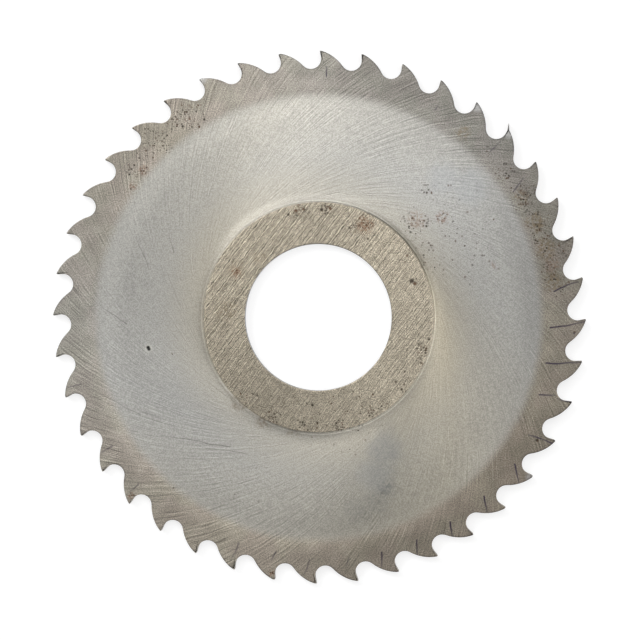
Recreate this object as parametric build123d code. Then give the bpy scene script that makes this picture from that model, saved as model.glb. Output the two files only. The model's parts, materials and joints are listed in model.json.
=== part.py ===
from build123d import *
from math import cos, radians, sin, sqrt, tan
import os

# Circular saw blade: one disc of hardened steel, with its teeth, hub and hollow web ground
# from the solid. The bore runs along Z, the middle of the thickness is Z = 0, and one tooth
# tip lies on +X. The teeth cut counter-clockwise as seen from +Z, which is the front.
# Lengths are in millimetres and angles in degrees.

# Disc
TIP_DIAMETER = 80.0
THICKNESS = 2.0         # over the hub faces, and over the toothed rim
BORE_DIAMETER = 22.0
BORE_EDGE_BREAK = 0.1   # stoned corner at each mouth of the bore

# Hollow grinding, alike on both sides: the web tapers from the rim down to the hub
HUB_WIDTH = 6.2         # flat clamping ring round the bore
HUB_STEP_WIDTH = 0.3    # sloping wall from the hub down to the web
HUB_STEP_DEPTH = 0.2
RIM_WIDTH = 2.9         # flat band between the web and the gullet floors
RIM_STEP_WIDTH = 0.5    # gentle slope from the rim down to the web
RIM_STEP_DEPTH = 0.06

# Teeth
TOOTH_COUNT = 40
TOOTH_DEPTH = 2.8       # from the tip circle to the gullet floor
RAKE_ANGLE = 12.0       # how far the face leans back under its tip
RELIEF_ANGLE = 15.0     # how steeply the back falls away behind its tip
GULLET_RADIUS = 1.55

# Dent of a hardness tester's diamond cone, in the front of the web
DENT_DIAMETER = 0.5
DENT_CONE_ANGLE = 120.0
DENT_BEARING = 190.5    # counter-clockwise from +X
DENT_FROM_HUB = 8.45    # from the foot of the hub step out to the dent

tip_radius = TIP_DIAMETER / 2
gullet_floor_radius = tip_radius - TOOTH_DEPTH
bore_radius = BORE_DIAMETER / 2
half_thickness = THICKNESS / 2
pitch_angle = 360 / TOOTH_COUNT

# Corners of the ground section, each as a radius and a height
hub_edge = (bore_radius + HUB_WIDTH, half_thickness)
hub_foot = (hub_edge[0] + HUB_STEP_WIDTH, half_thickness - HUB_STEP_DEPTH)
rim_edge = (gullet_floor_radius - RIM_WIDTH, half_thickness)
rim_foot = (rim_edge[0] - RIM_STEP_WIDTH, half_thickness - RIM_STEP_DEPTH)

# What cuts the disc runs past its surface by this much, so that no two faces coincide
overrun = THICKNESS


def direction(angle):
    """The unit vector in the XY plane at this angle from +X."""
    return Vector(cos(radians(angle)), sin(radians(angle)))


def tooth_gap():
    """The edges from the tip on +X round to the next tip: a face, a gullet and a back.

    The face is straight. The gullet is an arc tangent to it. The back is an arc that leaves
    the gullet smoothly and comes up to the next tip at the relief angle.
    """
    tip = tip_radius * direction(0)
    next_tip = tip_radius * direction(pitch_angle)

    # The gullet's centre lies one gullet radius in front of the face, and one above the
    # gullet floor: it is where a line along the face crosses a circle about the bore.
    down_face = direction(180 + RAKE_ANGLE)
    beside_tip = tip + GULLET_RADIUS * direction(90 + RAKE_ANGLE)
    centre_circle = gullet_floor_radius + GULLET_RADIUS
    half_chord = beside_tip.dot(down_face)
    excess = beside_tip.length**2 - centre_circle**2
    face_length = -half_chord - sqrt(half_chord**2 - excess)
    gullet_centre = beside_tip + face_length * down_face
    face_end = tip + face_length * down_face

    # The back's centre lies square to the way it comes up to the next tip. Its radius is the
    # one at which the back touches the gullet from outside.
    to_back_centre = direction(180 + pitch_angle - RELIEF_ANGLE)
    span = next_tip - gullet_centre
    clearance = GULLET_RADIUS - span.dot(to_back_centre)
    back_radius = (span.length**2 - GULLET_RADIUS**2) / (2 * clearance)
    back_centre = next_tip + back_radius * to_back_centre
    gullet_end = gullet_centre + GULLET_RADIUS * (back_centre - gullet_centre).normalized()

    face = Line(tip, face_end)
    gullet = TangentArc(face_end, gullet_end, tangent=face % 1)
    back = TangentArc(gullet_end, next_tip, tangent=gullet % 1)
    return [face, gullet, back]


def toothed_outline():
    """The area inside all the teeth: the same gap repeated round the axis."""
    edges = []
    for number in range(TOOTH_COUNT):
        edges += [edge.rotate(Axis.Z, number * pitch_angle) for edge in tooth_gap()]
    return make_face(edges)


def ground_section():
    """The disc cut along its axis, with the radius along X and the height along Y."""
    outer = tip_radius + overrun
    front = Polyline(
        (bore_radius, 0),
        (bore_radius, half_thickness - BORE_EDGE_BREAK),
        (bore_radius + BORE_EDGE_BREAK, half_thickness),
        hub_edge,
        hub_foot,
        rim_foot,
        rim_edge,
        (outer, half_thickness),
        (outer, 0),
    )
    return make_face(front + mirror(front, about=Plane.XZ))


def hardness_dent():
    """The cone that the dent takes out of the front of the web."""
    web_taper = (rim_foot[1] - hub_foot[1]) / (rim_foot[0] - hub_foot[0])
    ring_radius = hub_foot[0] + DENT_FROM_HUB
    surface = hub_foot[1] + web_taper * DENT_FROM_HUB
    slope = tan(radians(DENT_CONE_ANGLE / 2))
    depth = DENT_DIAMETER / 2 / slope
    height = depth + overrun
    cone = Cone(0, height * slope, height, align=(Align.CENTER, Align.CENTER, Align.MIN))
    spot = ring_radius * direction(DENT_BEARING)
    return Pos(spot.X, spot.Y, surface - depth) * cone


def saw_blade():
    """The whole blade as one solid."""
    disc = revolve(Plane.XZ * ground_section(), Axis.Z)
    teeth = extrude(toothed_outline(), amount=half_thickness + overrun, both=True)
    return (disc & teeth) - hardness_dent()


os.makedirs("parts", exist_ok=True)
blade = saw_blade()
export_step(blade, "parts/saw_blade.step")
print("saw_blade: volume", round(blade.volume, 1), "box", blade.bounding_box().size)
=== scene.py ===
import json
import math
import random

import bmesh
import bpy
from mathutils import Matrix, Vector
from mathutils.bvhtree import BVHTree


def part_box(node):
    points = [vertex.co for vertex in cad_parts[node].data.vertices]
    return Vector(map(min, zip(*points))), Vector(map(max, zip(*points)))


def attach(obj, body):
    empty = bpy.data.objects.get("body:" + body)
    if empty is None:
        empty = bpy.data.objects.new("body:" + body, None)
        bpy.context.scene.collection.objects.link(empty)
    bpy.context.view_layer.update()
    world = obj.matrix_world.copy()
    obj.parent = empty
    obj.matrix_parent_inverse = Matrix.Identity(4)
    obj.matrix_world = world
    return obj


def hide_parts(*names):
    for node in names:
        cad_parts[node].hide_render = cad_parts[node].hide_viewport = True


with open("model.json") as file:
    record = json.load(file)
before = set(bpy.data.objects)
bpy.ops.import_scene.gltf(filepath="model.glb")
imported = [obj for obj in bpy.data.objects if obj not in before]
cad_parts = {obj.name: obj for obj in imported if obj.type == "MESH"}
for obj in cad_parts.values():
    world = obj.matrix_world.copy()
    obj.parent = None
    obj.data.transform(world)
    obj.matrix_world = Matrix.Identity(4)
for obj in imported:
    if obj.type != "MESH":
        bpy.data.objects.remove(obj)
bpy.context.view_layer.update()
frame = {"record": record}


# The blank. One disc of hardened high-speed steel, bored to slide on a milling arbor and ground
# flat on both sides. The sharp corner at each mouth of the bore is stoned off by hand.
MM = 0.001
blank_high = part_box("saw_blade")[1]
tip_radius = blank_high[0] / MM
half_thickness = blank_high[2] / MM
arbor_bore = next(m for m in frame["record"]["mounts"] if m["name"] == "bore")
bore_radius = arbor_bore["dims"]["r_mm"]
bore_edge_break = 0.1
bore_edge_middle = 0.3 * bore_edge_break    # how far the middle of the corner lies in and down
bore_edge_end = 1.5 * bore_edge_break       # where the stoning has faded out on the hub
bore_corner = [
    (bore_radius, half_thickness - bore_edge_break),
    (bore_radius + bore_edge_middle, half_thickness - bore_edge_middle),
    (bore_radius + bore_edge_break, half_thickness),
    (bore_radius + bore_edge_end, half_thickness),
]


# The hollow grinding. A cup wheel thins the web on both sides, so that the blade doesn't rub in
# its slot. It leaves the hub standing as a clamping ring, and a full-thickness rim for the teeth.
hub_radius = 17.2
hub_step_width = 0.35
hub_step_depth = 0.2
hub_step_rings = 6
rim_edge_radius = 34.6
rim_step_width = 3.0
rim_step_depth = 0.06
rim_step_rings = 5
corner_width = 0.06     # the last strip of a flat, beside the corner where it ends
web_ring_spacing = 1.6


def soft_step(start, end, steps):
    """Points (radius, height) of a step whose top and foot the wheel has rounded."""
    points = []
    for number in range(steps + 1):
        share = number / steps
        eased = (1 - math.cos(math.pi * share)) / 2
        radius = start[0] + share * (end[0] - start[0])
        points.append((radius, start[1] + eased * (end[1] - start[1])))
    return points


def straight_rings(start, end):
    """Points (radius, height) between two corners of the section, both left out."""
    count = max(1, round((end[0] - start[0]) / web_ring_spacing))
    corners = [Vector(start), Vector(end)]
    return [tuple(corners[0].lerp(corners[1], n / count)) for n in range(1, count)]


hub_top = (hub_radius, half_thickness)
hub_foot = (hub_radius + hub_step_width, half_thickness - hub_step_depth)
rim_foot = (rim_edge_radius - rim_step_width, half_thickness - rim_step_depth)
rim_top = (rim_edge_radius, half_thickness)
hub_land = (hub_radius - corner_width, half_thickness)
section = bore_corner + straight_rings(bore_corner[-1], hub_land) + [hub_land]
section += soft_step(hub_top, hub_foot, hub_step_rings) + straight_rings(hub_foot, rim_foot)
section += soft_step(rim_foot, rim_top, rim_step_rings)


# The teeth. Forty hooked teeth are ground into the rim with a formed wheel: a short face that
# leans back under its tip, a round gullet, and a back that rises to the next tip. Work has worn
# every tip to a small blunt land, and one still has its burr.
tooth_count = 40
tooth_depth = 2.8
rake_angle = 12.0
relief_angle = 15.0
gullet_radius = 1.55
face_steps = 3
gullet_steps = 11
back_steps = 8
pitch_angle = 360 / tooth_count
root_lag = 2.2          # degrees by which each column's inner end lags behind its outer end
face_wear_range = (0.06, 0.22)
back_wear_range = (0.15, 0.45)
edge_rounding = 0.05
tip_rounding_range = (1.0, 4.5)     # how many times rounder still the corners are at a tip
tip_wear_reach = 1.1    # how far from a tip the corners are worn rounder
land_crown = 0.25       # how far the middle of a worn land rises towards the sharp tip
burred_tooth = 5
burred_tip_wear = 0.07
burr_length = 0.67
burr_lead = 0.85        # degrees
wear_draws = random.Random(40)


def direction(angle):
    """The unit vector in the blade's plane at this many degrees from +X."""
    return Vector((math.cos(math.radians(angle)), math.sin(math.radians(angle))))


def bearing(vector):
    """The angle of a vector from +X, in degrees."""
    return math.degrees(math.atan2(vector.y, vector.x))


def arc_points(centre, start, end, turn, count):
    """Points along an arc from start to end, both kept. turn is 1 for counter-clockwise."""
    first = bearing(start - centre)
    sweep = (bearing(end - centre) - first) * turn % 360
    radius = (start - centre).length
    angles = [first + turn * sweep * n / count for n in range(count + 1)]
    return [centre + radius * direction(angle) for angle in angles]


def tooth_gap(face_wear, back_wear):
    """The outline from the worn tip on +X round the gullet to the next worn tip."""
    tip = tip_radius * direction(0)
    next_tip = tip_radius * direction(pitch_angle)
    down_face = direction(180 + rake_angle)
    beside_tip = tip + gullet_radius * direction(90 + rake_angle)
    half_chord = beside_tip.dot(down_face)
    centre_circle = tip_radius - tooth_depth + gullet_radius
    excess = beside_tip.length_squared - centre_circle**2
    face_length = -half_chord - math.sqrt(half_chord**2 - excess)
    gullet_centre = beside_tip + face_length * down_face
    face_end = tip + face_length * down_face

    to_back_centre = direction(180 + pitch_angle - relief_angle)
    span = next_tip - gullet_centre
    clearance = gullet_radius - span.dot(to_back_centre)
    back_radius = (span.length_squared - gullet_radius**2) / (2 * clearance)
    back_centre = next_tip + back_radius * to_back_centre
    gullet_end = gullet_centre + gullet_radius * (back_centre - gullet_centre).normalized()
    back_turn = math.degrees(back_wear / back_radius)
    back_end = back_centre + back_radius * direction(bearing(next_tip - back_centre) - back_turn)

    left_of_face = face_length - face_wear
    face = [
        tip + down_face * (face_wear + left_of_face * n / face_steps) for n in range(face_steps)
    ]
    gullet = arc_points(gullet_centre, face_end, gullet_end, -1, gullet_steps)
    back = arc_points(back_centre, gullet_end, back_end, 1, back_steps)[1:]
    return face + gullet + back


face_wears = [wear_draws.uniform(*face_wear_range) for _ in range(tooth_count)]
back_wears = [wear_draws.uniform(*back_wear_range) for _ in range(tooth_count)]
tip_roundings = [wear_draws.uniform(*tip_rounding_range) for _ in range(tooth_count)]
face_wears[burred_tooth] = back_wears[burred_tooth] = burred_tip_wear
outline = []
roundings = []
tip_columns = []
for number in range(tooth_count):
    following = (number + 1) % tooth_count
    gap = tooth_gap(face_wears[number], back_wears[following])
    turned = Matrix.Rotation(math.radians(number * pitch_angle), 2)
    outline += [turned @ point for point in gap]
    # The middle of the next tip's worn land, between this gap's back and the next gap's face
    next_face = tooth_gap(face_wears[following], 0)[0]
    next_turned = Matrix.Rotation(math.radians(following * pitch_angle), 2)
    land_middle = (outline[-1] + next_turned @ next_face) / 2
    sharp_tip = tip_radius * direction(following * pitch_angle)
    tip_columns.append(len(outline))
    outline.append(land_middle.lerp(sharp_tip, land_crown))
    for point in gap + [tip_radius * direction(pitch_angle)]:
        from_tips = [(point - tip_radius * direction(turn)).length for turn in (0, pitch_angle)]
        nearness = max(0, 1 - min(from_tips) / tip_wear_reach)
        rounder = tip_roundings[number if from_tips[0] < from_tips[1] else following]
        roundings.append(edge_rounding * (1 + rounder * nearness))

columns = len(outline)
root_angles = [n * 360 / columns - root_lag for n in range(columns)]
inward = []
for number, point in enumerate(outline):
    along = outline[(number + 1) % columns] - outline[number - 1]
    inward.append(Vector((-along.y, along.x)).normalized())


# The body. Rings of the ground section run out from the bore to the rim, the rim's own rings
# spread from there to the tooth outline, and the same rings come back under the blade. A hardness
# tester's diamond has left one small dent in the front of the web.
rim_shares = (0.18, 0.36, 0.54, 0.7, 0.83, 0.92, 0.975)
rounded_edge = ((1, 0), (0.3, 0.3), (0, 1))     # how far in and down its rings lie
dent_bearing = 190.5
dent_radius = 25.95
dent_width = 0.5
dent_depth = 0.14
dent_lip = 0.015
dent_lip_reach = 1.6    # where the lip ends, with the dent's own edge at 1
dent_patch = 0.45
dent_cuts = 4
sharp_angle = 38.0


def raised(point, height):
    """A point of the blade's plane, brought to this height."""
    return Vector((point.x, point.y, height))


def ring_at(radius, height):
    """One ring of corners about the bore, on the columns' angles at the rim's inner edge."""
    return [raised(radius * direction(angle), height) for angle in root_angles]


def rim_ring(share, inset, drop):
    """One ring this share of the way from the rim's inner edge to the outline.

    The outline is first drawn in, and the ring is then lowered, by so many times its rounding.
    """
    ring = []
    for angle, point, side, rounding in zip(root_angles, outline, inward, roundings):
        root = rim_edge_radius * direction(angle)
        end = point + inset * rounding * side
        ring.append(raised(root.lerp(end, share), half_thickness - drop * rounding))
    return ring


web_slope = (rim_foot[1] - hub_foot[1]) / (rim_foot[0] - hub_foot[0])
for radius in (dent_radius - dent_patch, dent_radius, dent_radius + dent_patch):
    section.append((radius, hub_foot[1] + web_slope * (radius - hub_foot[0])))
section.sort(key=lambda corner: corner[0])
front_rings = [ring_at(radius, height) for radius, height in section]
front_rings += [rim_ring(share, 1, 0) for share in rim_shares]
front_rings += [rim_ring(1, inset, drop) for inset, drop in rounded_edge]
burr = tip_columns[burred_tooth - 1]
burr_tip = (tip_radius + burr_length) * direction(burred_tooth * pitch_angle + burr_lead)
for ring in front_rings[-2:]:
    ring[burr] = raised(burr_tip, half_thickness - edge_rounding)
back_rings = [[Vector((x, y, -z)) for x, y, z in ring] for ring in reversed(front_rings)]
rings = front_rings + back_rings

WEB_FACE, HUB_FACE, TOOTH_WALL, BORE_WALL = range(4)
blade_faces = []
face_finish = []
for number in range(len(rings)):
    following = (number + 1) % len(rings)
    outermost = max(rings[number][0].xy.length, rings[following][0].xy.length)
    finish = HUB_FACE if outermost < hub_radius + corner_width else WEB_FACE
    if following == 0:
        finish = BORE_WALL
    if following == len(front_rings):
        finish = TOOTH_WALL
    for column in range(columns):
        beside = (column + 1) % columns
        blade_faces.append([
            number * columns + column,
            following * columns + column,
            following * columns + beside,
            number * columns + beside,
        ])
        face_finish.append(finish)

blade_mesh = bpy.data.meshes.new("ground_blade")
blade_mesh.from_pydata([point * MM for ring in rings for point in ring], [], blade_faces)
blade_mesh.polygons.foreach_set("material_index", face_finish)
blade = bpy.data.objects.new("ground_blade", blade_mesh)
bpy.context.collection.objects.link(blade)
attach(blade, "root")
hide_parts("saw_blade")


# The way the scratches run. A flat wheel drew straight ones over the hub, and the cup wheel drew
# arcs that touch the hub and sweep out over the web and the rim. Light spreads across them.
hub_line_angle = 53
wheel_radius = 60.2
wheel_offset = 42.8
on_hub_edge = 0.01      # a corner this near to the hub's edge still lies on the hub


def across_scratches(point):
    """The direction in the blade's plane that crosses the grinding lines at right angles."""
    radius = point.xy.length
    if radius < hub_radius + on_hub_edge:
        return direction(hub_line_angle + 90)
    lean = (radius**2 + wheel_offset**2 - wheel_radius**2) / (2 * radius * wheel_offset)
    lean = math.degrees(math.acos(max(-1, min(1, lean))))
    wheel_centre = wheel_offset * direction(bearing(point) - lean)
    return (point.xy - wheel_centre).normalized()


across = blade_mesh.attributes.new("across_lines", "FLOAT_VECTOR", "POINT")
across.data.foreach_set("vector", [
    part for ring in rings for point in ring for part in (*across_scratches(point), 0)
])

# How far each corner lies from the tooth outline, for the darkening along the edges. It is measured
# to a fence that stands on the outline, one millimetre high.
fence_corners = [raised(point, height) for point in outline for height in (0, 1)]
fence_faces = []
for number in range(columns):
    beside = (number + 1) % columns
    fence_faces.append((2 * number, 2 * number + 1, 2 * beside + 1, 2 * beside))
fence = BVHTree.FromPolygons(fence_corners, fence_faces)
edge_distance = blade_mesh.attributes.new("edge_distance", "FLOAT", "POINT")
edge_distance.data.foreach_set("value", [
    fence.find_nearest(raised(point, 0.5))[3] for ring in rings for point in ring
])

# The dent is pressed into a patch of smaller faces
dent_centre = dent_radius * direction(dent_bearing)
bench = bmesh.new()
bench.from_mesh(blade_mesh)
dented = []
for face in bench.faces:
    middle = face.calc_center_median() / MM
    near_dent = (middle.xy - dent_centre).length < 2 * dent_width
    if middle.z > 0 and near_dent and abs(middle.xy.length - dent_radius) < dent_patch:
        dented.append(face)
dent_edges = list({edge for face in dented for edge in face.edges})
bmesh.ops.subdivide_edges(bench, edges=dent_edges, cuts=dent_cuts, use_grid_fill=True)
for vert in bench.verts:
    reach = (vert.co.xy / MM - dent_centre).length / (dent_width / 2)
    if vert.co.z > 0 and reach < 1:
        vert.co.z -= (dent_depth * (1 - reach) - dent_lip * reach) * MM
    elif vert.co.z > 0 and reach < dent_lip_reach:
        vert.co.z += dent_lip * (dent_lip_reach - reach) / (dent_lip_reach - 1) * MM
bmesh.ops.recalc_face_normals(bench, faces=bench.faces)
for face in bench.faces:
    face.smooth = True
bench.to_mesh(blade_mesh)
bench.free()
blade_mesh.set_sharp_from_angle(angle=math.radians(sharp_angle))
blade.modifiers.new("flat_faces_kept_flat", "WEIGHTED_NORMAL").keep_sharp = True


# The ground finish. Wheels cut the whole blade to size, and left it covered in fine parallel lines
# of bare hardened steel, uneven in tone and with a deeper scratch here and there.
def node(tree, kind, sockets, **settings):
    """Adds a node, and gives each of its named or numbered sockets a value or a link."""
    made = tree.nodes.new(kind)
    for name, value in settings.items():
        setattr(made, name, value)
    for key, value in sockets.items():
        if isinstance(value, bpy.types.NodeSocket):
            tree.links.new(value, made.inputs[key])
        else:
            made.inputs[key].default_value = value
    return made


def maths(tree, operation, first, second=0.0):
    """The result of one sum."""
    return node(tree, "ShaderNodeMath", {0: first, 1: second}, operation=operation).outputs[0]


def product(tree, first, *others):
    """Numbers multiplied together."""
    for other in others:
        first = maths(tree, "MULTIPLY", first, other)
    return first


def vectors(tree, operation, first, second=(0, 0, 0)):
    """The vector that one vector sum gives."""
    made = node(tree, "ShaderNodeVectorMath", {0: first, 1: second}, operation=operation)
    return made.outputs["Vector"]


def measured(tree, operation, first, second=(0, 0, 0)):
    """The number that one vector sum gives."""
    made = node(tree, "ShaderNodeVectorMath", {0: first, 1: second}, operation=operation)
    return made.outputs["Value"]


def parts(tree, vector):
    """The parts of a vector, by the names X, Y and Z."""
    return node(tree, "ShaderNodeSeparateXYZ", {0: vector}).outputs


def ramp(tree, value, start, end, low=0.0, high=1.0):
    """Goes smoothly from low to high as the value goes from start to end."""
    sockets = {"Value": value, "From Min": start, "From Max": end, "To Min": low, "To Max": high}
    made = node(tree, "ShaderNodeMapRange", sockets, interpolation_type="SMOOTHSTEP")
    return made.outputs["Result"]


def grain(tree, place, scale, detail=2.0):
    """Cloudy noise about 0.5."""
    sockets = {"Vector": place, "Scale": scale, "Detail": detail}
    return node(tree, "ShaderNodeTexNoise", sockets).outputs["Fac"]


def scaled(tree, colour, *amounts):
    """A colour made lighter or darker by each of these numbers in turn."""
    for amount in amounts:
        made = node(tree, "ShaderNodeVectorMath", {0: colour, "Scale": amount}, operation="SCALE")
        colour = made.outputs["Vector"]
    return colour


def tinted(tree, share, under, over):
    """One colour laid over another by a share."""
    made = node(tree, "ShaderNodeMix", {"Factor": share}, data_type="RGBA")
    for socket, colour in (("A", under), ("B", over)):
        target = next(s for s in made.inputs if s.name == socket and s.type == "RGBA")
        if isinstance(colour, bpy.types.NodeSocket):
            tree.links.new(colour, target)
        else:
            target.default_value = (*colour, 1)
    return next(s for s in made.outputs if s.type == "RGBA")


def new_group(name, inputs, outputs):
    """An empty node group with named sockets. Returns it with its inputs and its outputs."""
    group = bpy.data.node_groups.new(name, "ShaderNodeTree")
    for side, sockets in (("INPUT", inputs), ("OUTPUT", outputs)):
        for socket, kind in sockets.items():
            group.interface.new_socket(socket, in_out=side, socket_type="NodeSocket" + kind)
    given = group.nodes.new("NodeGroupInput").outputs
    result = group.nodes.new("NodeGroupOutput").inputs
    return group, given, result


def placed(tree, group, sockets):
    """Puts a group into a tree and returns its outputs."""
    return node(tree, "ShaderNodeGroup", sockets, node_tree=group).outputs


def blade_place(tree):
    """Where a point of the surface lies on the blade, in millimetres."""
    spot = node(tree, "ShaderNodeTexCoord", {}).outputs["Object"]
    return vectors(tree, "MULTIPLY", spot, (1 / MM, 1 / MM, 1 / MM))


def flattened(tree, place):
    """A place on the blade without its height."""
    return vectors(tree, "MULTIPLY", place, (1, 1, 0))


def bare_steel(name, roughness):
    """An empty finish of bare metal, with its node tree and its shader."""
    finish = bpy.data.materials.new(name)
    finish.use_nodes = True
    shader = finish.node_tree.nodes["Principled BSDF"]
    shader.inputs["Metallic"].default_value = 1
    shader.inputs["Roughness"].default_value = roughness
    return finish, finish.node_tree, shader


def make_grinding_lines():
    """A group that draws the lines, from how far across and along them a place lies."""
    tree, given, result = new_group(
        "grinding_lines",
        {"Across": "Float", "Along": "Float", "Line Width": "Float", "Line Length": "Float"},
        {"Fine": "Float", "Scratches": "Float"},
    )
    across = maths(tree, "DIVIDE", given["Across"], given["Line Width"])
    along = maths(tree, "DIVIDE", given["Along"], given["Line Length"])
    track = node(tree, "ShaderNodeCombineXYZ", {"X": across, "Y": along}).outputs["Vector"]

    def drawn_out(stretch, shift):
        """Noise stretched along the track, and shifted so that each use has its own."""
        place = vectors(tree, "ADD", vectors(tree, "MULTIPLY", track, stretch), shift)
        return grain(tree, place, 1.0, 0.0)

    # Each line runs on with its neighbours, but wanders a little and comes and goes on its own
    wander = drawn_out((0.3, 1.0, 0.0), (0, 0, 0))
    wandering = maths(tree, "ADD", across, product(tree, wander, 1.8))
    sockets = {"W": wandering, "Scale": 1.0, "Detail": 1.0}
    line = node(tree, "ShaderNodeTexNoise", sockets, noise_dimensions="1D").outputs["Fac"]
    line = maths(tree, "SUBTRACT", ramp(tree, line, 0.3, 0.7), 0.5)
    presence = ramp(tree, drawn_out((0.5, 1.5, 0.0), (17.3, 8.1, 0.0)), 0.35, 0.65, 0.25, 1.0)
    fine = maths(tree, "ADD", product(tree, line, presence), 0.5)
    tree.links.new(fine, result["Fine"])
    deep = drawn_out((0.8, 0.2, 0.0), (31.7, 12.9, 5.3))
    tree.links.new(ramp(tree, deep, 0.62, 0.78), result["Scratches"])
    return tree


grinding_lines = make_grinding_lines()


# The wheel's arcs on the web and the rim. Each scratch is part of one circle that touches the
# hub, so a place on the blade is told by which circle it lies on and how far along it.
across_arcs = 15.5      # the radius at which distances across the arcs are true


def make_wheel_arcs():
    """A group that finds a place among the arcs. Its arc and its bearing are parts of a turn."""
    tree, given, result = new_group(
        "wheel_arcs", {"Place": "Vector"},
        {"Across": "Float", "Along": "Float", "Arc": "Float", "Bearing": "Float"},
    )
    flat = flattened(tree, given["Place"])
    radius = measured(tree, "LENGTH", flat)
    radius_squared = product(tree, radius, radius)

    # The arc's own bearing lags behind the place's by the angle of this cosine and sine
    over = maths(tree, "ADD", radius_squared, wheel_offset**2 - wheel_radius**2)
    cosine = maths(tree, "DIVIDE", over, product(tree, radius, 2 * wheel_offset))
    cosine = maths(tree, "MAXIMUM", cosine, -1.0)
    sine = maths(tree, "SQRT", maths(tree, "SUBTRACT", 1.0, product(tree, cosine, cosine)))
    outward = parts(tree, vectors(tree, "NORMALIZE", flat))
    x, y = outward["X"], outward["Y"]
    arc_x = maths(tree, "ADD", product(tree, x, cosine), product(tree, y, sine))
    arc_y = maths(tree, "SUBTRACT", product(tree, y, cosine), product(tree, x, sine))
    turns = {}
    for output, towards_x, towards_y in (("Bearing", x, y), ("Arc", arc_x, arc_y)):
        angle = maths(tree, "ARCTAN2", towards_y, towards_x)
        turns[output] = maths(tree, "FRACT", maths(tree, "DIVIDE", angle, 2 * math.pi))
        tree.links.new(turns[output], result[output])
    across = product(tree, turns["Arc"], 2 * math.pi * across_arcs)
    tree.links.new(across, result["Across"])

    short = maths(tree, "SUBTRACT", wheel_offset**2 + wheel_radius**2, radius_squared)
    swept_cosine = maths(tree, "DIVIDE", short, 2 * wheel_offset * wheel_radius)
    swept = maths(tree, "ARCCOSINE", maths(tree, "MINIMUM", swept_cosine, 1.0))
    tree.links.new(product(tree, swept, wheel_radius), result["Along"])
    return tree


wheel_arcs = make_wheel_arcs()


# Stains and corrosion. Damp has left small dark pits and spots of rust in clusters, and oil and
# handling have left brown and grey patches, all on the front as it was kept.
BROWN_STAIN = (0.15, 0.11, 0.065)
RUST = (0.19, 0.09, 0.05)
DARK_PIT = (0.032, 0.026, 0.02)
RUSTY_PIT = (0.085, 0.048, 0.03)
pit_spacing = 0.36
# Each spot is a bearing in degrees, a radius and a reach in millimetres, and a strength
pitted = (
    (47, 20.3, 2.0, 0.6), (42, 21.4, 1.6, 0.5), (39, 23.8, 1.3, 0.5), (34, 19.3, 1.6, 0.3),
    (16, 27.9, 0.9, 0.6), (51, 25.4, 1.2, 0.4), (21.4, 15.2, 0.9, 0.7), (64, 16.0, 1.8, 0.8),
    (68, 14.4, 1.2, 0.6), (86, 16.2, 1.3, 0.95), (101, 16.3, 1.4, 0.95), (153, 14.0, 1.3, 0.65),
    (163, 16.9, 0.8, 0.7), (228, 16.2, 1.5, 0.4), (246, 16.4, 1.6, 0.7), (262, 16.3, 1.5, 0.65),
    (281, 16.5, 1.4, 0.75), (300, 16.3, 1.6, 0.75), (322, 16.5, 1.4, 0.7), (343, 16.5, 1.6, 0.9),
    (356, 16.4, 1.0, 0.5), (122, 35.6, 2.6, 0.55), (132, 35.2, 2.6, 0.5), (142, 35.4, 1.8, 0.4),
    (108, 38.3, 1.4, 0.5), (38, 35.3, 1.8, 0.45), (29, 35.6, 2.4, 0.55), (21, 35.6, 2.6, 0.65),
    (12, 35.6, 2.4, 0.6), (7, 36.6, 1.6, 0.5), (45, 35.2, 1.4, 0.4), (194.5, 22.7, 0.35, 0.9),
    (140.4, 34.3, 1.0, 0.8), (145.2, 34.1, 0.8, 0.7), (224, 38.8, 0.8, 0.7), (260, 38.9, 0.8, 0.6),
    (337, 17.0, 0.7, 0.8), (308, 16.4, 1.2, 0.6),
)
lone_pits = (
    (21.5, 15.0, 0.5, 1.0), (19.5, 15.3, 0.4, 1.0), (35, 16.2, 0.3, 0.8), (84, 16.4, 0.34, 1.0),
    (88.5, 16.1, 0.34, 1.0), (98, 16.3, 0.3, 0.9), (102, 16.3, 0.34, 1.0), (106.5, 16.0, 0.3, 0.9),
    (266.5, 13.2, 0.3, 1.0), (232.5, 14.9, 0.26, 0.7), (349, 16.9, 0.28, 0.9),
    (328, 15.3, 0.26, 0.8), (320.5, 15.1, 0.26, 0.8), (58, 13.9, 0.26, 0.8), (66, 15.0, 0.28, 0.8),
    (71, 14.2, 0.28, 0.8), (43, 18.8, 0.26, 0.8), (50, 19.8, 0.22, 0.6), (18.5, 26.9, 0.2, 0.6),
    (230, 33.6, 0.2, 0.7), (245, 29.4, 0.16, 0.6), (357, 38.3, 0.28, 0.9), (331, 37.5, 0.34, 0.95),
)
sprinkled = (
    (33, 23.0, 12.0, 0.11), (10, 36.2, 3.6, 0.4), (17, 36.2, 3.6, 0.4), (24, 36.2, 3.6, 0.35),
    (31, 36.2, 3.6, 0.3), (125, 36.2, 4.0, 0.3), (135, 36.2, 4.0, 0.25), (285, 14.8, 9.0, 0.12),
    (245, 27.0, 9.0, 0.04),
)
rusted = (
    (63.5, 15.6, 1.8, 0.8), (152, 14.0, 1.2, 0.9), (45, 20.8, 1.8, 0.8), (39, 23.8, 1.4, 0.9),
    (17, 27.6, 0.8, 0.7), (140.2, 34.3, 1.0, 1.0), (145.0, 34.1, 0.8, 1.0), (224, 38.8, 0.8, 0.9),
    (260, 38.9, 0.8, 0.9), (13, 35.8, 1.6, 0.5),
)
browned = (
    (9, 35.4, 1.9, 0.35), (17, 35.5, 2.1, 0.38), (24, 35.3, 2.0, 0.38), (31, 35.2, 1.6, 0.3),
    (52, 35.0, 1.5, 0.3), (63, 15.2, 1.6, 0.22), (150, 14.2, 1.8, 0.22), (176, 13.6, 2.2, 0.22),
    (135, 12.4, 1.5, 0.18), (228, 17.4, 1.8, 0.3), (243, 17.4, 1.8, 0.3), (258, 17.4, 1.4, 0.2),
)
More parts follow.
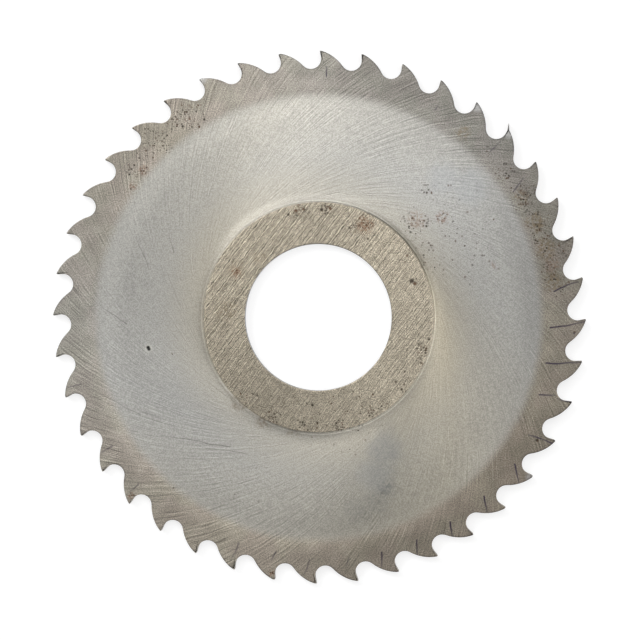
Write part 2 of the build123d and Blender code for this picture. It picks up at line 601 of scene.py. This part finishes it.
smudged = (
    (291.5, 27.8, 1.8, 0.38), (288, 28.8, 2.6, 0.22), (293, 25.4, 3.2, 0.17), (297, 22.4, 3.2, 0.2),
    (282, 29.6, 2.6, 0.18), (301, 20.0, 2.4, 0.14),
)
blued = ((41, 30.0, 3.8, 0.3), (48, 28.0, 3.4, 0.3), (297, 22.0, 3.6, 0.2), (290, 25.0, 3.6, 0.2))


def make_patch():
    """A group that fades a round patch from its middle out to its reach."""
    tree, given, result = new_group(
        "patch", {"Place": "Vector", "Centre": "Vector", "Reach": "Float"}, {"Mask": "Float"}
    )
    apart = measured(tree, "DISTANCE", flattened(tree, given["Place"]), given["Centre"])
    core = product(tree, given["Reach"], 0.35)
    tree.links.new(ramp(tree, apart, given["Reach"], core), result["Mask"])
    return tree


def make_pitting():
    """A group that strews pits of uneven size and depth, as densely as it is told."""
    tree, given, result = new_group(
        "pitting", {"Place": "Vector", "Spacing": "Float", "Density": "Float"}, {"Pits": "Float"}
    )
    cell = node(tree, "ShaderNodeTexVoronoi", {
        "Vector": flattened(tree, given["Place"]),
        "Scale": maths(tree, "DIVIDE", 1.0, given["Spacing"]),
    }, voronoi_dimensions="2D").outputs
    draws = node(tree, "ShaderNodeSeparateColor", {0: cell["Color"]}).outputs
    pit_edge = ramp(tree, draws["Red"], 0.0, 1.0, 0.3, 0.68)
    pit = ramp(tree, cell["Distance"], pit_edge, product(tree, pit_edge, 0.4))
    chosen = maths(tree, "SUBTRACT", given["Density"], draws["Green"])
    chosen = ramp(tree, chosen, 0.0, 0.08)
    depth = ramp(tree, draws["Blue"], 0.0, 1.0, 0.45, 1.0)
    tree.links.new(product(tree, pit, chosen, depth), result["Pits"])
    return tree


patch = make_patch()
pitting = make_pitting()


def patches(tree, place, spots):
    """Where any of these patches lies, and how strongly."""
    cover = 0.0
    for spot_bearing, spot_radius, reach, strength in spots:
        centre = (spot_radius * direction(spot_bearing)).to_3d()
        mask = placed(tree, patch, {"Place": place, "Centre": centre, "Reach": reach})["Mask"]
        cover = maths(tree, "MAXIMUM", product(tree, mask, strength), cover)
    return cover


def ragged(tree, place, scale, reach):
    """The place shifted a little from spot to spot, so that a patch gets an uneven edge."""
    sockets = {"Vector": place, "Scale": scale, "Detail": 2.0}
    cloud = node(tree, "ShaderNodeTexNoise", sockets).outputs["Color"]
    shift = vectors(tree, "SUBTRACT", cloud, (0.5, 0.5, 0.5))
    return vectors(tree, "ADD", place, vectors(tree, "MULTIPLY", shift, (2 * reach, 2 * reach, 0)))


def corroded(tree, place, spread, front, colour, sparse, kept):
    """Lays the kept spots' stains, rust and pits on a colour. Returns it with the pits."""
    mottle = ramp(tree, grain(tree, place, 2.2, 3.0), 0.36, 0.64, 0.1, 1.9)
    brown = patches(tree, spread, filter(kept, browned))
    colour = tinted(tree, product(tree, brown, front, mottle), colour, BROWN_STAIN)
    nearby = ragged(tree, place, 1.6, 0.3)
    rust = product(tree, patches(tree, nearby, filter(kept, rusted)), front)
    specks = ramp(tree, grain(tree, place, 2.8), 0.44, 0.58)
    colour = tinted(tree, product(tree, specks, rust, 0.6), colour, RUST)

    density = patches(tree, nearby, filter(kept, pitted))
    density = maths(tree, "MAXIMUM", patches(tree, place, sprinkled), density)
    density = product(tree, maths(tree, "MAXIMUM", density, sparse), front)
    sockets = {"Place": ragged(tree, place, 5.0, 0.12), "Spacing": pit_spacing, "Density": density}
    strewn = placed(tree, pitting, sockets)["Pits"]
    lone = product(tree, patches(tree, place, filter(kept, lone_pits)), front)
    pits = maths(tree, "MAXIMUM", strewn, lone)
    rusty = maths(tree, "MAXIMUM", rust, ramp(tree, grain(tree, place, 0.9), 0.45, 0.6))
    pit_colour = tinted(tree, rusty, DARK_PIT, RUSTY_PIT)
    return tinted(tree, product(tree, pits, 0.9), colour, pit_colour), pits


# The collar marks and the step's shade. Two broken dark rings run round the step, one at the
# hub's edge and a fainter one at its foot. They are partly rubbed by the edge of the clamping
# collar and partly painted shade where the step turns from the light. They are darkest at the upper
# right.
COLLAR_MARK_AND_SHADE = (0.07, 0.057, 0.042)
collar_and_shade_strength = 0.7
collar_and_shade_lines = ((hub_radius + 0.04, 1.0), (hub_radius + 0.52, 0.45))     # radius and strength
# How dark the rings are at a few bearings, from the collar's rubbing and the painted shade
collar_and_shade_bite = (
    (0, 0.05), (15, 0.15), (28, 0.9), (50, 0.9), (80, 0.15), (100, 0.03), (205, 0.05), (225, 0.5),
    (255, 0.4), (285, 0.0), (345, 0.0), (360, 0.05),
)


def round_the_blade(tree, turn, shares):
    """A number up to 1 that changes with the bearing, given at a few bearings in degrees."""
    made = node(tree, "ShaderNodeValToRGB", {"Fac": turn})
    stops = made.color_ramp.elements
    stops.remove(stops[1])
    for number, (stop_bearing, share) in enumerate(shares):
        stop = stops[0] if number == 0 else stops.new(stop_bearing / 360)
        stop.position = stop_bearing / 360
        stop.color = (share, share, share, 1)
    return made.outputs["Color"]


def away_from(tree, value, mark):
    """How far a number is from a mark, on either side."""
    return maths(tree, "ABSOLUTE", maths(tree, "SUBTRACT", value, mark))


def make_collar_and_shade_rings():
    """A group that draws both rings, broken up, over a faint dark band: collar marks and painted
    shade.
    """
    tree, given, result = new_group("collar_and_shade_rings", {"Place": "Vector"}, {"Rings": "Float"})
    flat = flattened(tree, given["Place"])
    radius = measured(tree, "LENGTH", flat)
    outward = parts(tree, vectors(tree, "NORMALIZE", flat))
    ring_track = node(tree, "ShaderNodeCombineXYZ", {
        "X": product(tree, outward["X"], 9.0),
        "Y": product(tree, outward["Y"], 9.0),
        "Z": product(tree, radius, 7.0),
    }).outputs["Vector"]
    band = ramp(tree, away_from(tree, radius, hub_radius + 0.3), 0.25, 0.7, 0.6, 0.0)
    rings = product(tree, ramp(tree, grain(tree, ring_track, 1.0, 1.0), 0.5, 0.6), band)
    broken = ramp(tree, grain(tree, ring_track, 0.7, 1.0), 0.35, 0.55, 0.5, 1.0)
    for line_radius, strength in collar_and_shade_lines:
        line = ramp(tree, away_from(tree, radius, line_radius), 0.07, 0.2, strength, 0.0)
        rings = maths(tree, "MAXIMUM", rings, product(tree, line, broken))
    turn = placed(tree, wheel_arcs, {"Place": given["Place"]})["Bearing"]
    bite = round_the_blade(tree, turn, collar_and_shade_bite)
    tree.links.new(product(tree, rings, bite, collar_and_shade_strength), result["Rings"])
    return tree


collar_and_shade_rings = make_collar_and_shade_rings()


def collar_marked_and_shaded(tree, place, front, colour):
    """Lays the collar's rings and the step's painted shade on a colour."""
    rings = placed(tree, collar_and_shade_rings, {"Place": place})["Rings"]
    return tinted(tree, product(tree, rings, front), colour, COLLAR_MARK_AND_SHADE)


# The hub. It was ground flat with the blade lying still, so its lines are straight and coarse.
# It is warmer and duller than the web, with dark pits along its outer edge.
HUB_STEEL = (0.288, 0.257, 0.202)
hub_line_depth = 0.012
# The hub's edge is lighter, partly rubbed bright and partly a painted highlight where it rounds
# over
hub_rubbed_and_lit_edge = (16.75, 17.05)      # the radii between which its edge is rubbed brighter
front_heights = (0.2, 0.6)          # the back ends, and the front begins, at these heights
# How deep the wheel bit, and how light the steel is, at a few bearings. The lightness is painted
# sheen, where the straight lines catch the light or turn from it. A shade of 0.5 leaves the colour
# as it is.
hub_bite = (
    (0, 0.55), (30, 0.55), (60, 0.8), (190, 0.85), (250, 0.3), (300, 0.35), (325, 0.6),
    (360, 0.55),
)
hub_sheen_shades = (
    (0, 0.5), (40, 0.54), (85, 0.45), (140, 0.54), (180, 0.54), (235, 0.46), (310, 0.54),
    (360, 0.5),
)


def in_front(tree, place):
    """1 on the front of the blade and 0 on its back."""
    return ramp(tree, parts(tree, place)["Z"], *front_heights)


def shaded(tree, colour, where, turn, shades):
    """A colour painted lighter or darker round the blade, by twice its shades, in one zone: painted
    sheen, highlight and shade.
    """
    shade = tinted(tree, where, (0.5, 0.5, 0.5), round_the_blade(tree, turn, shades))
    return scaled(tree, colour, product(tree, shade, 2.0))


def grooves(tree, fine, depth):
    """The fine lines as a number about 0, as deep as the wheel bit there."""
    return product(tree, maths(tree, "SUBTRACT", fine, 0.5), depth)


def lined(tree, lines, contrast):
    """A factor about 1 that follows the fine lines."""
    return ramp(tree, lines, -0.5, 0.5, 1 - contrast, 1 + contrast)


def clouded(tree, noise, contrast):
    """A factor about 1 that follows cloudy noise."""
    return ramp(tree, noise, 0.3, 0.7, 1 - contrast, 1 + contrast)


def roughened(tree, shader, lines, speckle, pits, depth):
    """Cuts the lines and the pits into the surface. A full line is this deep in millimetres."""
    height = maths(tree, "SUBTRACT", maths(tree, "ADD", lines, speckle), pits)
    bump = node(tree, "ShaderNodeBump", {"Height": height, "Strength": 1.0, "Distance": depth * MM})
    tree.links.new(bump.outputs["Normal"], shader.inputs["Normal"])


def ground_hub():
    """The finish of the two clamping faces."""
    finish, tree, shader = bare_steel("ground_hub", roughness=0.4)
    place = blade_place(tree)
    front = in_front(tree, place)
    radius = measured(tree, "LENGTH", flattened(tree, place))
    across = direction(hub_line_angle + 90).to_3d()
    along = direction(hub_line_angle).to_3d()
    fine = placed(tree, grinding_lines, {
        "Across": measured(tree, "DOT_PRODUCT", place, across),
        "Along": measured(tree, "DOT_PRODUCT", place, along),
        "Line Width": 0.16,
        "Line Length": 0.95,
    })["Fine"]
    turn = placed(tree, wheel_arcs, {"Place": place})["Bearing"]
    lines = grooves(tree, fine, round_the_blade(tree, turn, hub_bite))
    speckle = grain(tree, place, 6.0, 1.0)
    # Painted sheen: the hub lighter and darker by bearing
    colour = scaled(
        tree, shaded(tree, HUB_STEEL, front, turn, hub_sheen_shades),
        lined(tree, lines, 0.7),
        clouded(tree, speckle, 0.4),
        clouded(tree, grain(tree, place, 1.3), 0.14),
        # Its edge lighter: partly rubbed bright, partly a painted highlight where it rounds over
        ramp(tree, radius, *hub_rubbed_and_lit_edge, 1.0, 1.15),
    )
    spread = ragged(tree, place, 1.2, 0.6)
    colour, pits = corroded(
        tree, place, spread, front, colour, sparse=0.03, kept=lambda spot: spot[1] < hub_radius
    )
    colour = collar_marked_and_shaded(tree, place, front, colour)
    tree.links.new(colour, shader.inputs["Base Color"])
    speckle, pits = product(tree, speckle, 0.8), product(tree, pits, 2.0)
    roughened(tree, shader, lines, speckle, pits, hub_line_depth)
    return finish


# The pen marks. A fine blue-black pen has gone round the teeth, and left a short stroke beside
# most of the teeth of the lower half and a few above. It is ink, so it isn't bright as metal is.
INK = (0.022, 0.010, 0.028)
pen_width = 0.28
# Each goes from one bearing and radius to another, and has a strength
pen_marks = (
    (8.1, 39.2, 6.7, 35.4, 1.0), (34.7, 37.0, 33.3, 34.7, 0.6), (44.3, 37.8, 44.3, 35.8, 0.5),
    (60.9, 36.4, 60.9, 35.6, 0.5), (88.3, 37.6, 88.3, 36.2, 0.8), (195.9, 39.4, 195.9, 37.2, 0.5),
    (212.3, 38.6, 212.3, 36.6, 0.5), (223.1, 38.6, 223.1, 36.8, 0.5),
    (250.7, 38.8, 250.9, 36.0, 0.5), (259.3, 37.0, 260.0, 35.8, 0.7),
    (267.1, 38.8, 268.3, 36.4, 0.5), (276.7, 37.8, 277.7, 36.4, 0.5),
    (284.5, 38.6, 285.3, 36.4, 0.9), (293.1, 38.5, 294.3, 36.4, 0.9),
    (301.9, 38.5, 303.1, 36.5, 1.0), (311.3, 38.5, 313.3, 36.5, 1.0),
    (320.7, 38.8, 323.5, 36.6, 1.0), (331.3, 36.0, 331.8, 37.9, 0.9),
    (331.8, 37.9, 332.1, 39.8, 0.9), (341.6, 37.9, 341.6, 39.9, 1.0),
    (342.1, 37.4, 340.9, 35.0, 0.9), (350.5, 40.0, 349.0, 34.8, 1.0),
    (359.5, 39.9, 357.8, 34.8, 1.0), (356.9, 38.3, 356.8, 38.2, 0.9),
)


def make_pen_stroke():
    """A group that draws a straight stroke, pressed harder towards its end."""
    tree, given, result = new_group(
        "pen_stroke",
        {"Place": "Vector", "Start": "Vector", "Reach": "Vector", "Width": "Float"},
        {"Ink": "Float"},
    )
    reach = given["Reach"]
    from_start = vectors(tree, "SUBTRACT", flattened(tree, given["Place"]), given["Start"])
    along = measured(tree, "DOT_PRODUCT", from_start, reach)
    along = maths(tree, "DIVIDE", along, measured(tree, "DOT_PRODUCT", reach, reach))
    along = maths(tree, "MAXIMUM", maths(tree, "MINIMUM", along, 1.0), 0.0)
    apart = measured(tree, "DISTANCE", from_start, scaled(tree, reach, along))
    faded, full = product(tree, given["Width"], 0.5), product(tree, given["Width"], 0.3)
    drawn = ramp(tree, apart, faded, full)
    pressed = ramp(tree, along, 0.0, 0.8, 0.5, 1.0)
    tree.links.new(product(tree, drawn, pressed), result["Ink"])
    return tree


pen_stroke = make_pen_stroke()


def strokes(tree, place, marks, width):
    """Where any of these strokes lies, and how strongly."""
    cover = 0.0
    for start_bearing, start_radius, end_bearing, end_radius, strength in marks:
        start = (start_radius * direction(start_bearing)).to_3d()
        reach = (end_radius * direction(end_bearing)).to_3d() - start
        sockets = {"Place": place, "Start": start, "Reach": reach, "Width": width}
        ink = placed(tree, pen_stroke, sockets)["Ink"]
        cover = maths(tree, "MAXIMUM", product(tree, ink, strength), cover)
    return cover


# The single scratches. The blade has picked up a few long ones on the left, over the web and the
# rim. They are fine and dark, because dirt has settled in them.
SCRATCH_DIRT = (0.05, 0.045, 0.04)
scratch_width = 0.16
long_scratches = (
    (217.3, 29.4, 236.1, 23.5, 0.5), (224.3, 27.5, 243.0, 23.0, 0.35),
    (176.9, 33.0, 182.6, 28.7, 0.45), (157.3, 29.7, 163.8, 26.7, 0.35),
    (150.9, 25.8, 156.3, 23.9, 0.35), (196.0, 37.0, 209.0, 30.5, 0.3),
)


# The web and the rim. The cup wheel left the web bright and cool. The rim stayed in contact with
# the work and the air, so it is browner, and stained unevenly from tooth to tooth. Their colours
# also carry painted sheen, highlight and shade, which change round the blade with the light.
# The web's colour where its painted sheen is cool and where it is warm, and the rim's cool and warm
# tones
WEB_IN_COOL_SHEEN = (0.355, 0.355, 0.332)
WEB_IN_WARM_SHEEN = (0.377, 0.355, 0.292)
COOL_RIM = (0.245, 0.235, 0.215)
WARM_RIM = (0.26, 0.228, 0.185)
SMUDGE = (0.15, 0.16, 0.16)
BLUE_FILM = (0.32, 0.34, 0.36)
# A painted highlight on the web near the hub, and the colour beyond it
NEAR_HUB_HIGHLIGHT = (1.10, 1.055, 1.005)
OUTER_TINT = (1.0, 0.99, 1.005)
RED_TINT = (1.01, 0.995, 0.995)
GREEN_TINT = (0.99, 1.003, 0.98)
BRIGHT_STEEL = (0.36, 0.36, 0.36)
# A painted highlight on the dent's lip, and a painted shadow in the dent
LIP_HIGHLIGHT = (0.6, 0.58, 0.53)
DENT_SHADOW = (0.01, 0.01, 0.01)
web_line_depth = 0.006
# The middles of the step and of its foot, where painted highlight and shade lie
step_middle = hub_radius + 0.45 * hub_step_width
shaded_foot_middle = hub_radius + 0.55
# The radii between which the finish, and its painted highlight and shade, go over from one state
# to the next
lines_begin = (17.4, 18.6)
near_hub_highlight_ends = (17.5, 25.0)
lines_narrow = (19.5, 25.0)
web_darkens = (24.0, 34.0)
edge_band_begins = (28.5, 32.0)
rim_begins = (32.8, 34.5)
rim_shade_begins = (32.2, 34.4)
rim_lines_begin = (33.5, 34.5)
rim_darkens = (34.2, 36.6)
# How deep the wheel bit, how warm the steel is and how light, at a few bearings. The web's warmth,
# and the lightness of the web, the step, the band by the rim and the rim, are painted sheen,
# highlight and shade
web_bite = (
    (0, 0.4), (50, 0.8), (95, 0.8), (150, 0.35), (180, 0.35), (225, 0.75), (250, 0.7), (300, 0.4),
    (360, 0.4),
)
rim_bite = (
    (0, 0.45), (20, 0.35), (45, 0.6), (135, 0.55), (180, 0.65), (225, 0.9), (275, 0.45),
    (360, 0.45),
)
# Painted sheen: warm and cool bands along the web's arcs, where they reflect warmer or cooler light
web_sheen_warmth = (
    (0, 0.5), (45, 0.2), (90, 0.0), (150, 0.5), (200, 1.0), (245, 0.1), (285, 0.0), (360, 0.5),
)
rim_warmth = (
    (0, 0.7), (45, 0.0), (90, 0.2), (130, 0.7), (180, 0.1), (235, 0.7), (325, 1.0), (360, 0.7),
)
# Painted sheen: the web lighter and darker from arc to arc, where the arcs catch the light or turn
# from it
web_sheen_shades = (
    (0, 0.51), (45, 0.55), (85, 0.45), (120, 0.53), (160, 0.48), (187, 0.54), (225, 0.46),
    (257, 0.52), (360, 0.51),
)
# Painted highlight and shade on the step, by the way it faces
step_light_and_shade = (
    (0, 0.85), (35, 0.6), (95, 0.85), (133, 0.4), (187, 1.0), (228, 0.42), (280, 1.0), (345, 1.0),
    (360, 0.85),
)
# Painted light and shade on the web by the rim: paler at the left, duller at the right
edge_band_light_and_shade = (
    (0, 0.42), (45, 0.46), (90, 0.52), (165, 0.62), (225, 0.5), (278, 0.48), (320, 0.54),
    (360, 0.42),
)
# Painted light and shade on the rim: lighter on the left, darker at the upper right and the right
rim_light_and_shade = (
    (0, 0.43), (80, 0.34), (105, 0.42), (150, 0.7), (187, 0.54), (220, 0.64), (292, 0.62),
    (325, 0.37), (360, 0.43),
)
# Spots on the web and the rim, each a bearing, a radius, a reach and a strength
shaded_side = ((325, 38.0, 28.0, 0.5),)
worn_tips = (
    (53.4, 39.6, 1.3, 0.55), (44.4, 39.6, 1.2, 0.5), (116.3, 39.8, 1.1, 0.5),
    (323.4, 39.8, 1.1, 0.5),
)
# A painted highlight on the dent's lip, and a painted shadow in the dent
lip_highlight_spots = ((190.7, 25.93, 0.8, 0.5),)
dark_dent = ((190.4, 25.97, 0.4, 0.95), (190.95, 25.9, 0.38, 0.93))


def web_steel(tree, place, front, radius, arcs, lines):
    """The colour of the bare web with its painted sheen, highlight and shade, without its stains.
    """
    colour = tinted(tree, round_the_blade(tree, arcs["Arc"], web_sheen_warmth), WEB_IN_COOL_SHEEN, WEB_IN_WARM_SHEEN)
    colour = shaded(tree, colour, front, arcs["Arc"], web_sheen_shades)
    # A painted highlight near the hub
    tint = tinted(tree, ramp(tree, radius, *near_hub_highlight_ends), NEAR_HUB_HIGHLIGHT, OUTER_TINT)
    colour = vectors(tree, "MULTIPLY", colour, tint)
    # Painted light and shade on the band by the rim
    edge_band = product(tree, ramp(tree, radius, *edge_band_begins), front)
    colour = shaded(tree, colour, edge_band, arcs["Bearing"], edge_band_light_and_shade)
    # Painted highlight and shade on the step
    on_step = ramp(tree, away_from(tree, radius, step_middle), 0.1, 0.32, 1.0, 0.0)
    colour = shaded(tree, colour, product(tree, on_step, front), arcs["Bearing"], step_light_and_shade)
    return scaled(
        tree, colour,
        ramp(tree, radius, *web_darkens, 1.02, 0.935),
        # Painted shade along the foot of the step
        ramp(tree, away_from(tree, radius, shaded_foot_middle), 0.12, 0.4, 0.92, 1.0),
        clouded(tree, grain(tree, place, 1.5), 0.03),
        lined(tree, lines, 0.28),
    )


def rim_steel(tree, place, front, radius, arcs, lines):
    """The colour of the bare rim and teeth, with painted light and shade by bearing, without their
    stains.
    """
    colour = tinted(tree, round_the_blade(tree, arcs["Bearing"], rim_warmth), COOL_RIM, WARM_RIM)
    # Painted light and shade by bearing
    colour = shaded(tree, colour, front, arcs["Bearing"], rim_light_and_shade)
    clouds = ramp(tree, grain(tree, place, 0.25), 0.4, 0.6)
    tint = tinted(tree, clouds, RED_TINT, GREEN_TINT)
    return scaled(
        tree, vectors(tree, "MULTIPLY", colour, tint),
        # Lighter just outside the step, partly painted light that evens out the step's shade there,
        # and darker towards the teeth
        ramp(tree, radius, *rim_darkens, 1.1, 0.96),
        lined(tree, lines, 0.45),
    )


def ground_web():
    """The finish of the web, the rim and the sides of the teeth."""
    finish, tree, shader = bare_steel("ground_web", roughness=0.42)
    shader.inputs["Anisotropic"].default_value = 0.8
    lines_across = node(tree, "ShaderNodeAttribute", {}, attribute_name="across_lines")
    tree.links.new(lines_across.outputs["Vector"], shader.inputs["Tangent"])
    place = blade_place(tree)
    front = in_front(tree, place)
    radius = measured(tree, "LENGTH", flattened(tree, place))
    arcs = placed(tree, wheel_arcs, {"Place": place})

    # The arcs crowd together towards the hub, so the lines there are drawn wider
    path = {"Across": arcs["Across"], "Along": arcs["Along"]}
    inner = placed(tree, grinding_lines, {**path, "Line Width": 0.3, "Line Length": 2.0})
    outer = placed(tree, grinding_lines, {**path, "Line Width": 0.15, "Line Length": 3.0})
    away = ramp(tree, radius, *lines_narrow)
    fine = tinted(tree, away, inner["Fine"], outer["Fine"])
    scratches = tinted(tree, away, inner["Scratches"], outer["Scratches"])
    bite = tinted(
        tree, ramp(tree, radius, *rim_lines_begin),
        round_the_blade(tree, arcs["Bearing"], web_bite),
        round_the_blade(tree, arcs["Bearing"], rim_bite),
    )
    bite = product(tree, bite, ramp(tree, grain(tree, place, 0.16), 0.35, 0.65, 0.35, 1.0))
    lines = grooves(tree, fine, product(tree, bite, ramp(tree, radius, *lines_begin)))
    scratches = product(tree, scratches, bite)

    speckle = grain(tree, place, 6.0, 1.0)
    clouds = grain(tree, place, 0.35, 3.0)
    web_colour = scaled(
        tree, web_steel(tree, place, front, radius, arcs, lines),
        clouded(tree, speckle, 0.16),
        maths(tree, "SUBTRACT", 1.0, product(tree, scratches, 0.16)),
    )
    rim_colour = scaled(
        tree, rim_steel(tree, place, front, radius, arcs, lines),
        clouded(tree, speckle, 0.3),
        clouded(tree, clouds, 0.1),
        ramp(tree, scratches, 0.0, 1.0, 1.02, 0.8),
    )
    rim = ramp(tree, maths(tree, "ADD", radius, product(tree, clouds, 0.5)), *rim_begins)
    shade = patches(tree, place, shaded_side)
    shade = product(tree, ramp(tree, radius, *rim_shade_begins), shade, front)
    colour = tinted(tree, maths(tree, "MAXIMUM", rim, shade), web_colour, rim_colour)

    spread = ragged(tree, place, 0.9, 1.0)
    mottle = ramp(tree, grain(tree, place, 2.0, 4.0), 0.34, 0.66, 0.55, 1.5)
    smudge = product(tree, patches(tree, spread, smudged), front, mottle)
    colour = tinted(tree, smudge, colour, SMUDGE)
    blue = product(tree, patches(tree, spread, blued), front)
    colour = tinted(tree, blue, colour, BLUE_FILM)
    colour, pits = corroded(
        tree, place, spread, front, colour, sparse=0.02, kept=lambda spot: spot[1] > hub_radius
    )
    colour = collar_marked_and_shaded(tree, place, front, colour)
    # Worn bright tips, a painted highlight on the dent's lip and a painted shadow in the dent
    for spots, tone in (
        (worn_tips, BRIGHT_STEEL), (lip_highlight_spots, LIP_HIGHLIGHT), (dark_dent, DENT_SHADOW),
    ):
        spot = product(tree, patches(tree, place, spots), front)
        colour = tinted(tree, spot, colour, tone)
    # The steel is darker along the tooth outline, more in some places than others
    edge = node(tree, "ShaderNodeAttribute", {}, attribute_name="edge_distance").outputs["Fac"]
    edge_darkening = ramp(tree, grain(tree, place, 0.5, 1.0), 0.35, 0.65, 0.65, 1.0)
    colour = scaled(tree, colour, ramp(tree, edge, 0.05, 0.3, edge_darkening, 1.0))

    unsteady = ragged(tree, place, 0.25, 0.4)
    scratch = product(tree, strokes(tree, unsteady, long_scratches, scratch_width), front)
    colour = tinted(tree, scratch, colour, SCRATCH_DIRT)
    ink = product(tree, strokes(tree, unsteady, pen_marks, pen_width), front)
    colour = tinted(tree, ink, colour, INK)
    tree.links.new(colour, shader.inputs["Base Color"])
    tree.links.new(maths(tree, "SUBTRACT", 1.0, ink), shader.inputs["Metallic"])
    speckle, pits = product(tree, speckle, 0.6), product(tree, pits, 3.0)
    roughened(tree, shader, lines, speckle, pits, web_line_depth)
    return finish


# The walls of the tooth gaps and of the bore. They are bare steel as well, and were ground
# straight through the blade, so their fine lines run from one side of it to the other.
GAP_STEEL = (0.30, 0.28, 0.25)
BORE_STEEL = (0.36, 0.37, 0.38)
wall_lines = (7.0, 7.0, 0.33)       # lines to a millimetre, across and along them


def ground_wall(name, colour):
    """The finish of a wall that runs through the thickness."""
    finish, tree, shader = bare_steel(name, roughness=0.45)
    lines = grain(tree, vectors(tree, "MULTIPLY", blade_place(tree), wall_lines), 1.0)
    colour = scaled(tree, colour, ramp(tree, lines, 0.25, 0.75, 0.65, 1.3))
    tree.links.new(colour, shader.inputs["Base Color"])
    return finish


blade_mesh.materials.append(ground_web())
blade_mesh.materials.append(ground_hub())
blade_mesh.materials.append(ground_wall("tooth_gap_wall", GAP_STEEL))
blade_mesh.materials.append(ground_wall("bore_wall", BORE_STEEL))


# The table. A plain white top under the blade, which keeps its shadow. It is clear from below, so
# that the back of the blade can be seen too.
table_reach = 1.5
table_gap = 0.01
table_height = -(half_thickness + table_gap) * MM
TABLE_PAINT = (0.35, 0.35, 0.35, 1)
table_glow = 0.72
table_corners = [
    (x * table_reach, y * table_reach, table_height)
    for x, y in ((-1, -1), (1, -1), (1, 1), (-1, 1))
]
table_mesh = bpy.data.meshes.new("table_top")
table_mesh.from_pydata(table_corners, [], [(0, 1, 2, 3)])
table_top = bpy.data.objects.new("table_top", table_mesh)
bpy.context.collection.objects.link(table_top)
white = bpy.data.materials.new("white_table")
white.use_nodes = True
paint = white.node_tree.nodes["Principled BSDF"]
paint.inputs["Base Color"].default_value = TABLE_PAINT
paint.inputs["Roughness"].default_value = 0.9
paint.inputs["Emission Color"].default_value = (1, 1, 1, 1)
ray = node(white.node_tree, "ShaderNodeLightPath", {}).outputs
seen = maths(white.node_tree, "MAXIMUM", ray["Is Camera Ray"], ray["Is Glossy Ray"])
glow = product(white.node_tree, seen, table_glow)
white.node_tree.links.new(glow, paint.inputs["Emission Strength"])
under_side = node(white.node_tree, "ShaderNodeNewGeometry", {}).outputs["Backfacing"]
clear = node(white.node_tree, "ShaderNodeBsdfTransparent", {}).outputs["BSDF"]
finishes = {0: under_side, 1: paint.outputs["BSDF"], 2: clear}
one_sided = node(white.node_tree, "ShaderNodeMixShader", finishes).outputs["Shader"]
surface = white.node_tree.nodes["Material Output"].inputs["Surface"]
white.node_tree.links.new(one_sided, surface)
table_mesh.materials.append(white)


# The light. Four square soft boxes hang round the blade, in a room with pale walls. What they
# throw on the steel spreads across its grinding lines.
room_brightness = 0.3
lamp_distance = 0.7
soft_box_size = 0.25
# Each hangs so many degrees from straight above, towards a bearing, and has a brightness
soft_boxes = {
    "soft_box_right": (20, 0, 4.1),
    "soft_box_top": (20, 90, 5.6),
    "soft_box_left": (40, 135, 7.9),
    "soft_box_low": (60, 225, 3.8),
}
world = bpy.data.worlds.new("pale_room")
world.use_nodes = True
walls = world.node_tree.nodes["Background"].inputs
walls["Color"].default_value = (1, 1, 1, 1)
walls["Strength"].default_value = room_brightness
bpy.context.scene.world = world
for name, (from_zenith, lamp_bearing, brightness) in soft_boxes.items():
    rise, out = math.cos(math.radians(from_zenith)), math.sin(math.radians(from_zenith))
    lamp_side = raised(out * direction(lamp_bearing), rise)
    lamp_data = bpy.data.lights.new(name, "AREA")
    lamp_data.size = soft_box_size
    lamp_data.energy = brightness * math.pi * soft_box_size**2
    lamp = bpy.data.objects.new(name, lamp_data)
    facing = lamp_side.to_track_quat("Z", "Y").to_matrix().to_4x4()
    lamp.matrix_world = Matrix.Translation(lamp_distance * lamp_side) @ facing
    bpy.context.collection.objects.link(lamp)


# The camera. It hangs a third of a metre above the blade, a little to the right of its axis, and
# looks down on it through a long lens.
camera_distance = 350
camera_tilt = 2.4
camera_side = 5.0
camera_roll = 0.33
camera_lens = 131.1
aim = Vector((0.28, -0.40, half_thickness))
tilt = math.radians(camera_tilt)
stand = camera_distance * raised(math.sin(tilt) * direction(camera_side), math.cos(tilt))
camera_back = (stand - aim).normalized()
camera_right = direction(camera_roll).to_3d()
camera_right = (camera_right - camera_right.dot(camera_back) * camera_back).normalized()
camera_axes = Matrix((camera_right, camera_back.cross(camera_right), camera_back)).transposed()
camera_data = bpy.data.cameras.new("camera")
camera_data.lens = camera_lens
camera_data.clip_start = 0.01
camera = bpy.data.objects.new("camera", camera_data)
camera.matrix_world = Matrix.Translation(stand * MM) @ camera_axes.to_4x4()
bpy.context.collection.objects.link(camera)
bpy.context.scene.camera = camera
bpy.context.scene.view_settings.view_transform = "Standard"
